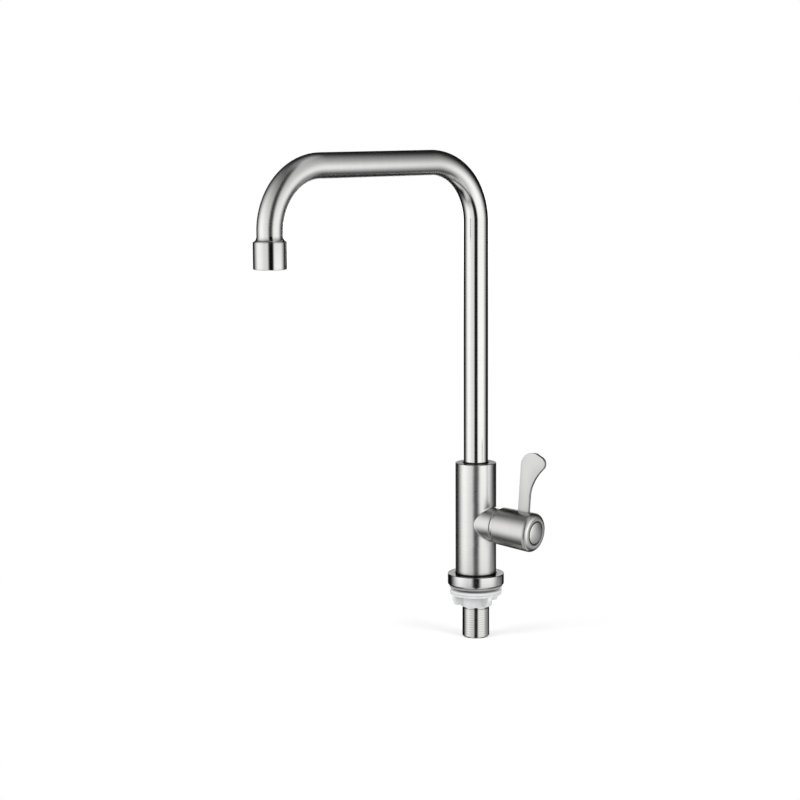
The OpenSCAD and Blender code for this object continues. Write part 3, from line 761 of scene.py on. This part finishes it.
# Points from one place on the window's edge over the wall, the fillet, the neck and its mouth
def neckStrip(size, radius, mouth, step, row):
    middle = (size["windowLow"] + size["windowHigh"]) / 2
    theta = step * (turn / size["steps"])
    z = size["windowLow"] + (size["windowHigh"] - size["windowLow"]) / size["windowRows"] * row
    angle = math.atan2((z - middle) / (size["windowHigh"] - middle), step / size["windowHalf"])
    corner = neckCorner(size, radius, angle)
    holeTheta, holeZ = math.atan2(corner[0].y, corner[0].x), corner[0].z
    strip = []
    for k in range(size["patchRings"]):
        t = 1 - k / size["patchRings"]
        spin = holeTheta + (theta - holeTheta) * t
        strip.append(Vector((radius * math.cos(spin), radius * math.sin(spin), holeZ + (z - holeZ) * t)))
    strip += corner
    start = (branchPlace.inverted() @ (corner[-1] * mm)).z / mm
    for k in range(1, size["neckRows"]):
        along = start + (mouth[0].x - start) * k / size["neckRows"]
        strip.append(neckPoint(along, neckRadius(size, along), angle))
    return strip + [neckPoint(point.x, point.y, angle) for point in mouth]


def makeBody(size):
    radius, outline = radiusOf("body_column"), columnOutline(size)
    steps, rows, half = size["steps"], size["windowRows"], size["windowHalf"]
    wall = next(i for i, point in enumerate(outline[:-1]) if (outline[i + 1] - point).y > size["longWall"])
    rowHeight = (size["windowHigh"] - size["windowLow"]) / rows
    outline[wall + 1:wall + 1] = [
        Vector((radius, size["windowLow"] + rowHeight * i)) for i in range(rows + 1)]
    vertices, faces, count = [], [], len(outline)
    for j in range(steps):
        angle, here, after = turn / steps * j, j * count, (j + 1) % steps * count
        vertices += [Vector((p.x * math.cos(angle), p.x * math.sin(angle), p.y)) for p in outline]
        inWindow = (j + half) % steps < 2 * half
        for i in range(count - 1):
            if not (inWindow and wall < i <= wall + rows):
                faces.append((here + i, here + i + 1, after + i + 1, after + i))
    mouth = mouthOutline(size)
    strips = [neckStrip(size, radius, mouth, step, row) for step, row in windowEdge(size)]
    offset, length = len(vertices), len(strips[0])
    for j, strip in enumerate(strips):
        vertices += strip
        here, after = offset + j * length, offset + (j + 1) % len(strips) * length
        faces += [(here + i, here + i + 1, after + i + 1, after + i) for i in range(length - 1)]
    body = newPiece("tapBody", [point * mm for point in vertices], faces)
    settle(body, "tap_body", bodySteel, "body_column")
    # the neck's faces take the darker copy of the steel: painted shade
    body.data.materials.append(neckPaintedShadeSteel)
    clear = (radius + size["neckClear"]) * mm
    for face in body.data.polygons:
        if face.center.x > 0 and math.hypot(face.center.x, face.center.y) > clear:
            face.material_index = 1


makeBody(bodySize)
print("body made")


# Handle: cap, button and lever, measured along the branch from the column's axis

capSize = {
    "start": 23.9, "end": 55.5, "rim": 28.8, "shoulder": 30.3, "round": 4.2, "rimRounding": 0.4,
    "cavity": 25.0, "cavityRounding": 0.2, "hub": 34.8, "socket": 8.06, "socketEnd": 43.2, "hole": 4.5,
    "recess": 8.6, "recessFloor": 46.0, "buttonHole": 18.8, "buttonFloor": 52.6, "holeRounding": 0.12,
    "roundSteps": 14, "steps": 200,
}


def makeCap(size):
    rim, shoulder, button, recess = radii(size, "rim", "shoulder", "buttonHole", "recess")
    hole, socket, cavity = radii(size, "hole", "socket", "cavity")
    start, end, floor = size["start"], size["end"], size["buttonFloor"]
    outline = rounded([
        (rim, start, size["rimRounding"]), (shoulder, end, size["round"]), (button, end, size["holeRounding"]),
        (button, floor), (recess, floor), (recess, size["recessFloor"]), (hole, size["recessFloor"]),
        (hole, size["socketEnd"]), (socket, size["socketEnd"]), (socket, size["hub"]), (cavity, size["hub"]),
        (cavity, start, size["cavityRounding"])], size["roundSteps"])
    cap = turned("handleCap", outline, branchPlace, size["steps"])
    settle(cap, "handle", capSteel, "handle_cap")


buttonSize = {
    "diameter": 17.0, "floor": 52.6, "floorRounding": 0.2, "edge": 55.5, "edgeRounding": 0.35, "dome": 1.3,
    "foot": 48.7, "footOuter": 8.5, "footInner": 5.7, "domeSteps": 24, "steps": 128,
}


def makeButton(size):
    radius, inner, outer = radii(size, "diameter", "footInner", "footOuter")
    domeRadius = (radius ** 2 + size["dome"] ** 2) / (2 * size["dome"])
    floor, foot, edge = size["floor"], size["foot"], size["edge"]
    outline = rounded([
        (0, floor), (inner, floor), (inner, foot), (outer, foot), (outer, floor),
        (radius, floor, size["floorRounding"]), (radius, edge, size["edgeRounding"]), (0, edge)])[:-1]
    middle = edge + size["dome"] - domeRadius
    widest = math.asin(outline[-1].x / domeRadius)
    for k in range(1, size["domeSteps"] + 1):
        angle = widest * (1 - k / size["domeSteps"])
        outline.append(Vector((domeRadius * math.sin(angle), middle + domeRadius * math.cos(angle))))
    button = turned("handleButton", outline, branchPlace, size["steps"])
    settle(button, "handle", buttonSteel, "handle_button")


# Arcs are (first angle, last angle, steps)
leverSize = {
    "thickness": 2.8, "width": 9.4, "start": 38.8, "root": 11.7, "top": 61.3, "edge": 0.32,
    "head": 10.7, "headArc": (180, 76, 30), "corner": 5.5, "cornerArc": (60, -45, 20),
    "reach": 11.9, "cornerRise": 3.4, "waistDrop": 22.6, "rootDrop": 35.0, "bowSteps": 24,
}


def arcPoints(middle, radius, start, end, steps):
    angles = [math.radians(start + (end - start) * i / steps) for i in range(steps + 1)]
    return [middle + Vector((math.cos(angle), math.sin(angle))) * radius for angle in angles]


def leverOutline(size):
    end, bowSteps = size["start"] + size["width"], size["bowSteps"]
    head = Vector((size["start"] + size["head"], size["top"] - size["head"]))
    corner = Vector((end + size["reach"] - size["corner"], head.y + size["cornerRise"]))
    rounding = arcPoints(corner, size["corner"], *size["cornerArc"])
    leave, waist = rounding[-1], Vector((end, size["top"] - size["waistDrop"]))
    foot = Vector((end, size["top"] - size["rootDrop"]))
    times = [i / bowSteps for i in range(1, bowSteps + 1)]
    bow = [(1 - t) ** 2 * leave + 2 * t * (1 - t) * waist + t ** 2 * foot for t in times]
    straight = [Vector((end, size["root"])), Vector((size["start"], size["root"]))]
    return straight + arcPoints(head, size["head"], *size["headArc"]) + rounding + bow


def makeLever(size):
    half = size["thickness"] / 2
    points = [branchPlace @ (Vector((-p.y, half, p.x)) * mm) for p in leverOutline(size)]
    push = branchPlace.to_3x3() @ Vector((0, -size["thickness"] * mm, 0))
    lever = plateFrom("leverPlate", points, push, size["edge"])
    tidyMesh(lever)
    settle(lever, "handle", leverSteel, "lever")


makeCap(capSize)
makeButton(buttonSize)
makeLever(leverSize)
print("handle made")


# Lock nut: a washer and a nut with wings

washerSize = {"rounding": 0.7, "hole": 21.555, "roundSteps": 4}
nutSize = {
    "hole": 21.055, "holeRounding": 0.4, "hub": 25.2, "hubRounding": 0.9, "hubFillet": 0.8,
    "flange": 39.8, "flangeHeight": 1.8, "flangeRounding": 0.6, "topRounding": 0.3,
    "wings": 4, "wingTurn": -23.0, "wingRoot": 11.5, "wingReach": 20.9, "wingEdge": 3.0, "wingTaper": 2.2,
    "wingThickness": 3.0, "wingUp": 2.0, "wingRounding": 0.7, "wingCorner": 1.0, "wingFoot": 1.4,
    "roundSteps": 4, "steps": 120,
}


def makeWing(size, low, high):
    top, bottom, reach = high - size["flangeHeight"] / 2, low + size["wingUp"], size["wingReach"]
    corners = rounded([
        (size["wingRoot"], top), (reach, top), (reach, top - size["wingEdge"], size["wingCorner"]),
        (reach - size["wingTaper"], bottom, size["wingFoot"]), (size["wingRoot"], bottom)])
    points = [Vector((p.x, -size["wingThickness"] / 2, p.y)) * mm for p in corners]
    return plateFrom("wing", points, Vector((0, size["wingThickness"] * mm, 0)), size["wingRounding"])


# Sets wings round a hub and joins them to it
def wingTree():
    tree, start = newTree("wings", {"Wing": "Object", "Count": 4, "First Turn": 0.0, "Material": "Material"})
    wing = start.node("GeometryNodeObjectInfo", {"Object": start.out("Wing")}, "Geometry")
    count, index = start.out("Count"), start.node("GeometryNodeInputIndex")
    points = start.node("GeometryNodeMeshLine", {"Count": count, "Offset": Vector((0, 0, 0))})
    spin = start.node("ShaderNodeCombineXYZ", {"Z": start.out("First Turn") + index / count * turn})
    wings = start.node("GeometryNodeInstanceOnPoints", {"Points": points, "Instance": wing, "Rotation": spin})
    wings = start.node("GeometryNodeRealizeInstances", {"Geometry": wings})
    joined = start.node("GeometryNodeMeshBoolean", {"Mesh 2": start}, operation="UNION")
    start.tree.links.new(wings.socket, socketOf(joined.socket.node.inputs, "Mesh 2"))
    endTree(start, joined)
    return tree


def makeNut(size):
    low, high = heights("wing_nut")
    under, (hole, hub, flange) = high - size["flangeHeight"], radii(size, "hole", "hub", "flange")
    outline = rounded([
        (hole, low, size["holeRounding"]), (hub, low, size["hubRounding"]), (hub, under, size["hubFillet"]),
        (flange, under, size["flangeRounding"]), (flange, high, size["topRounding"]), (hole, high)],
        size["roundSteps"])
    nut = turned("wingNut", outline, steps=size["steps"])
    wing = makeWing(size, low, high)
    runTree(nut, wingTree(), {
        "Wing": wing, "Count": size["wings"], "First Turn": math.radians(size["wingTurn"]),
        "Material": nutPlastic})
    bpy.data.objects.remove(wing)
    tidyMesh(nut)
    settle(nut, "lock_nut", nutPlastic, "wing_nut")


makeRing(washerSize, "nutWasher", "nut_slider", nutPlastic, "nut_washer")
makeNut(nutSize)
print("lock nut made")


# Spout

spoutTipSize = {
    "tube": 19.0, "wall": 1.0, "straight": 3.0, "bore": 14.96,
    "flare": 23.4, "flareHeight": 4.0, "flareLand": 0.6, "flareRounding": 0.15, "flareSteps": 16,
    "thread": 22.0, "threadPitch": 1.0, "threadDepth": 0.35, "threadLead": 0.3, "threadRows": 51, "gap": 0.02,
}
spoutSize = {"wall": 1.0, "bend": 45.0, "stepsRound": 144, "stepsBend": 60}


def makeSpoutTube(size):
    low, high = heights("spout_tube")
    radius = spoutTipSize["tube"] / 2
    end = heights("spout_tip")[1] - spoutTipSize["straight"]
    tube = newPiece("spoutTube", [(0, 0, 0)], [])
    runTree(tube, tubeTree(), {
        "Radius": radius * mm, "Foot": low * mm, "Top": (high - radius) * mm, "End": end * mm,
        "Reach": math.hypot(outletMiddle.x, outletMiddle.y), "Bend": size["bend"] * mm, "Turn": spoutTurn,
        "Steps Round": size["stepsRound"], "Steps Bend": size["stepsBend"], "Material": tubeSteel})
    tidyMesh(tube)
    wall = tube.modifiers.new("wall", "SOLIDIFY")
    wall.thickness = size["wall"] * mm
    wall.offset = -1
    applyModifiers(tube)
    smooth(tube)
    settle(tube, "spout", tubeSteel, "spout_tube")


def makeSpoutTip(size):
    low, high = heights("spout_tip")
    tube, flare, thread, bore = radii(size, "tube", "flare", "thread", "bore")
    inner = tube - size["wall"] - size["gap"]
    lead, flareTop = size["threadLead"], high - size["straight"]
    flareFoot = flareTop - size["flareHeight"]
    outline = [Vector((bore, low)), Vector((thread - lead, low))]
    rows = size["threadRows"]
    outline += [Vector((thread, low + lead + (flareFoot - low - lead) * i / rows)) for i in range(rows + 1)]
    land = (flare, flareFoot + size["flareLand"])
    outline += rounded([(thread, flareFoot), (flare, flareFoot, size["flareRounding"]), land])[1:-1]
    for i in range(size["flareSteps"], -1, -1):
        angle = turn / 4 * i / size["flareSteps"]
        height = flareTop - (size["flareHeight"] - lead) * math.sin(angle)
        outline.append(Vector((tube + (flare - tube) * (1 - math.cos(angle)), height)))
    outline += [Vector((inner, flareTop)), Vector((inner, high)), Vector((bore, high))]
    tip = turned("spoutTip", outline)
    runTree(tip, threadTree(), {
        "Radius": thread * mm, "Pitch": size["threadPitch"] * mm, "Depth": size["threadDepth"] * mm,
        "Low": low * mm, "High": flareFoot * mm, "Material": tipSteel})
    tip.data.transform(outletPlace)
    tip.data.update()
    settle(tip, "spout", tipSteel, "spout_tip")


makeSpoutTube(spoutSize)
makeSpoutTip(spoutTipSize)
print("spout made")


# Aerator housing

aeratorSize = {
    "rounding": 0.5, "thread": 22.1, "threadRounding": 0.1, "lip": 3.0, "outlet": 18.4, "outletRounding": 0.3,
    "roundSteps": 6,
}


def makeAerator(size):
    low, high = heights("aerator_housing")
    radius = (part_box("aerator_housing")[1].x - outletMiddle.x) / mm
    (outlet, thread), lip = radii(size, "outlet", "thread"), low + size["lip"]
    outline = rounded([
        (outlet, low, size["outletRounding"]), (radius, low, size["rounding"]),
        (radius, high, size["rounding"]), (thread, high, size["threadRounding"]),
        (thread, lip), (outlet, lip)], size["roundSteps"])
    housing = turned("aeratorHousing", outline, outletPlace)
    settle(housing, "aerator_ring", tipSteel, "aerator_housing")


makeAerator(aeratorSize)
print("aerator made")


# Studio: a floor, a tent of soft panels that only reflections see, and two lamps

# Each pair is where a panel's edge is dark and where it is full: in degrees round from the camera or up from
# level, as seen from the tap, or ahead from -1, away, to 1, at the camera
tentLook = {
    "radius": 1000.0, "height": 150.0, "segments": 96, "rings": 48, "dim": 0.008,
    "panel": 1.33, "lowPanel": 0.3, "underPanel": 0.75, "backPanel": 1.3, "roofPanel": 0.25,
    "leftAhead": (-0.58, 0.30), "leftInner": (-8, -24), "leftMiddle": (-70, -28), "leftDimmer": 0.27,
    "leftTop": (80, 8), "leftFoot": (-53, -14),
    "rightAhead": (-0.45, 0.5), "rightInner": (8, 24), "rightFoot": (-72, -4), "rightTop": (-8, 46),
    "rightDimmer": 0.5,
    "lowInner": (94, 106), "lowOuter": (142, 122), "lowTop": (-16, -20), "lowFoot": (-40, -30),
    "under": (-61, -72), "underAhead": (0.15, 0.45), "underTop": (-25, -45), "underMiddle": (0.0, 0.16),
    "backRound": (149, 166), "backFoot": (-28, -17), "backTop": (16, 9), "backUpper": (-4, 5),
    "backBrighter": 1.2, "roof": (64, 80),
}
floorLook = {
    "drop": 0.2, "size": 9000.0, "colour": (0.86, 0.86, 0.86), "glow": 0.35, "paleFrom": 220.0, "paleTo": 450.0,
}
worldLook = {"ambient": 0.42}
lampLook = {
    "power": 9.0, "size": 900.0, "distance": 1200.0,
    "lamps": {"leftLamp": (-62, 24), "rightLamp": (50, 24)},    # degrees round from the camera and up
}


def glowMaterial(name):
    material, shade = newMaterial(name)
    material.cycles.emission_sampling = "NONE"
    return material, shade


def emission(shade, strength):
    return shade.node("ShaderNodeEmission", {"Color": (1, 1, 1, 1), "Strength": strength})


def seenBackground(shade):
    path = shade.node("ShaderNodeLightPath")
    seen = shade.math("MAXIMUM", path.out("Is Camera Ray"), path.out("Is Glossy Ray"))
    return shade.math("MAXIMUM", seen, path.out("Is Transmission Ray"))


def tentGlow(shade, look, place):
    right, _, _, level = cameraAxes(cameraLook)
    where = ownCoordinates(shade, place)

    def measure(direction):
        return shade.node("ShaderNodeVectorMath", {0: where, 1: direction}, "Value", operation="DOT_PRODUCT")

    across, ahead, up = measure(right), measure(level), measure(Vector((0, 0, 1)))
    aside = shade.math("ARCTAN2", across, ahead) * (360 / turn)
    rise = shade.math("ARCTAN2", up, shade.math("SQRT", across * across + ahead * ahead)) * (360 / turn)
    ahead = ahead / (look["radius"] * mm)

    def edge(signal, name):
        return signal.step(*look[name])

    left = edge(ahead, "leftAhead") * edge(aside, "leftInner")
    left = left * (1 - edge(aside, "leftMiddle") * look["leftDimmer"])
    left = left * edge(rise, "leftTop") * edge(rise, "leftFoot")
    rightSide = edge(ahead, "rightAhead") * edge(aside, "rightInner") * edge(rise, "rightFoot")
    rightSide = rightSide * (1 - edge(rise, "rightTop") * look["rightDimmer"])
    low = edge(aside, "lowInner") * edge(aside, "lowOuter")
    low = low * edge(rise, "lowTop") * edge(rise, "lowFoot")
    under = edge(ahead, "underAhead") * edge(rise, "underTop")
    under = shade.math("MAXIMUM", edge(rise, "under"), under)
    under = under * edge(shade.math("ABSOLUTE", across) / (look["radius"] * mm), "underMiddle")
    behind = edge(shade.math("ABSOLUTE", aside), "backRound")
    behind = behind * edge(rise, "backFoot") * edge(rise, "backTop")
    behind = behind * (1 + edge(rise, "backUpper") * look["backBrighter"])
    glow = (left + rightSide) * look["panel"] + low * look["lowPanel"]
    glow = shade.math("MAXIMUM", glow, under * look["underPanel"])
    return glow + behind * look["backPanel"] + edge(rise, "roof") * look["roofPanel"] + look["dim"]


def makeTent(look):
    material, shade = glowMaterial("tentPanels")
    place = Matrix.Translation((0, 0, look["height"] * mm))
    output(shade, emission(shade, tentGlow(shade, look, place)))
    shape = bmesh.new()
    bmesh.ops.create_uvsphere(
        shape, u_segments=look["segments"], v_segments=look["rings"], radius=look["radius"] * mm, matrix=place)
    tent = pieceFrom("tent", shape)
    wear(tent, material)
    for ray in ("camera", "diffuse", "transmission", "volume_scatter", "shadow"):
        setattr(tent, f"visible_{ray}", False)


def makeFloor(look):
    height, half = cadBox[0].z - look["drop"] * mm, look["size"] * mm / 2
    corners = [(-half, -half, height), (half, -half, height), (half, half, height), (-half, half, height)]
    mesh = bpy.data.meshes.new("floor")
    mesh.from_pydata(corners, [], [(0, 1, 2, 3)])
    floor = linked("floor", mesh)
    material, shade = glowMaterial("paleFloor")
    x, y, _ = partsOf(shade, shade.node("ShaderNodeTexCoord", output="Object"))
    distance = shade.math("SQRT", x * x + y * y)
    seen = seenBackground(shade)
    paint = shade.node("ShaderNodeBsdfDiffuse", {"Color": (*look["colour"], 1)})
    lit = shade.node("ShaderNodeAddShader", {0: paint, 1: emission(shade, seen * look["glow"])})
    pale = distance.step(look["paleFrom"] * mm, look["paleTo"] * mm)
    output(shade, shade.node("ShaderNodeMixShader", {0: pale, 1: lit, 2: emission(shade, seen)}))
    wear(floor, material)
    floor.visible_glossy = False


def makeWorld(look):
    world = bpy.data.worlds.new("studio")
    scene.world = world
    world.use_nodes = True
    world.node_tree.nodes.clear()
    shade = Signal(world.node_tree)
    strength = look["ambient"] + seenBackground(shade) * (1 - look["ambient"])
    background = shade.node("ShaderNodeBackground", {"Color": (1, 1, 1, 1), "Strength": strength})
    shade.node("ShaderNodeOutputWorld", {"Surface": background})


def makeLamps(look):
    right, _, _, level = cameraAxes(cameraLook)
    middle = Vector((0, 0, tentLook["height"] * mm))
    for name, (side, rise) in look["lamps"].items():
        angle, lift = math.radians(side), math.radians(rise)
        aside = level * math.cos(angle) + right * math.sin(angle)
        direction = aside * math.cos(lift) + Vector((0, 0, math.sin(lift)))
        data = bpy.data.lights.new(name, "AREA")
        data.energy = look["power"]
        data.size = look["size"] * mm
        lamp = linked(name, data)
        lamp.location = middle + direction * look["distance"] * mm
        lamp.rotation_euler = direction.to_track_quat("Z", "Y").to_euler()
        lamp.visible_glossy = False


makeTent(tentLook)
makeFloor(floorLook)
makeWorld(worldLook)
makeLamps(lampLook)
scene.view_settings.view_transform = "Standard"
print("studio set")
